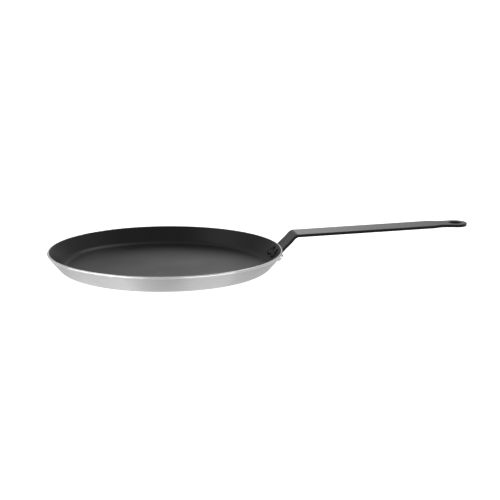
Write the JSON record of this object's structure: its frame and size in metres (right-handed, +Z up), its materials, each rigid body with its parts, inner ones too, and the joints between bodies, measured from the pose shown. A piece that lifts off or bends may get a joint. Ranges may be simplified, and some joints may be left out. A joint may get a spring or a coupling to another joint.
{
  "type": "crepe pan",
  "caption": "Low flared crepe pan: turned aluminium dish, non-stick inside, and a riveted black steel strip handle that ends in a hanging eye.",
  "frame": {"origin": "middle of the flat underside of the base, where the pan rests", "axes": "+Z up, square to the base; +X along the handle, from the pan's middle to the eye"},
  "size_m": [0.551, 0.3, 0.0444],
  "materials": {
    "pan_aluminium": "satin turned outside, bright cut wall end",
    "nonstick_coat": "smooth dark semi-gloss non-stick coat",
    "handle_steel": "satin black baked coat on steel strip",
    "rivet_aluminium": "bright formed heads"
  },
  "bodies": {
    "root": {"pan_body": "pan_aluminium", "nonstick_lining": "nonstick_coat", "handle": "handle_steel", "rivet_front": "rivet_aluminium", "rivet_rear": "rivet_aluminium", "rivet_front_coating": "nonstick_coat", "rivet_rear_coating": "nonstick_coat"}
  },
  "joints": []
}
